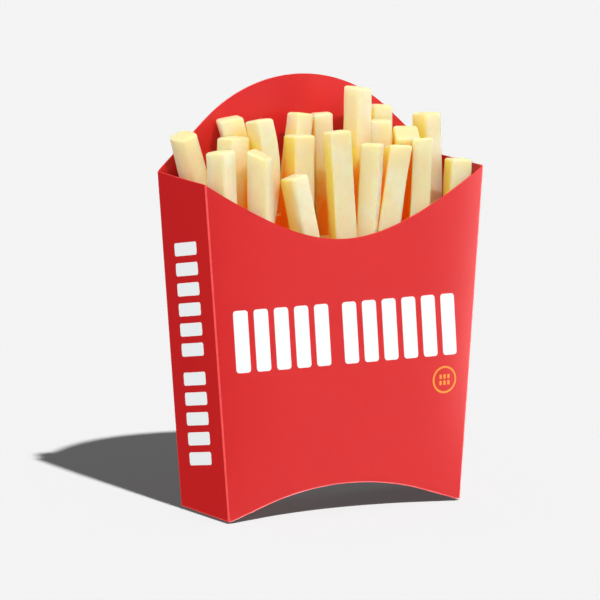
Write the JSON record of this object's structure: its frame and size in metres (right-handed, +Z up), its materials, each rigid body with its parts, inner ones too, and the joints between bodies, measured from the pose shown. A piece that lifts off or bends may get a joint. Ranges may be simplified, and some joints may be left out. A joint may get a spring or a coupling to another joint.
{
  "type": "french fries in a carton",
  "caption": "Thin-cut french fries standing in a folded card scoop carton with an arched back panel, a dipped front edge and an arched bottom.",
  "frame": {"origin": "middle of the carton's footprint, on the surface that it stands on", "axes": "+Z up, -Y towards the scooped front panel, +Y towards the arched back panel, +X to the right seen from the front"},
  "size_m": [0.1104, 0.0356, 0.1498],
  "materials": {
    "card": "red printed board with a satin coating, red on both faces",
    "potato": "fried potato, pale yellow and matt, more golden down between the sticks",
    "print_white": "white print on the satin board",
    "print_yellow": "orange-yellow print on the satin board"
  },
  "bodies": {
    "root": {"carton": "card", "fries": "potato"}
  },
  "joints": []
}
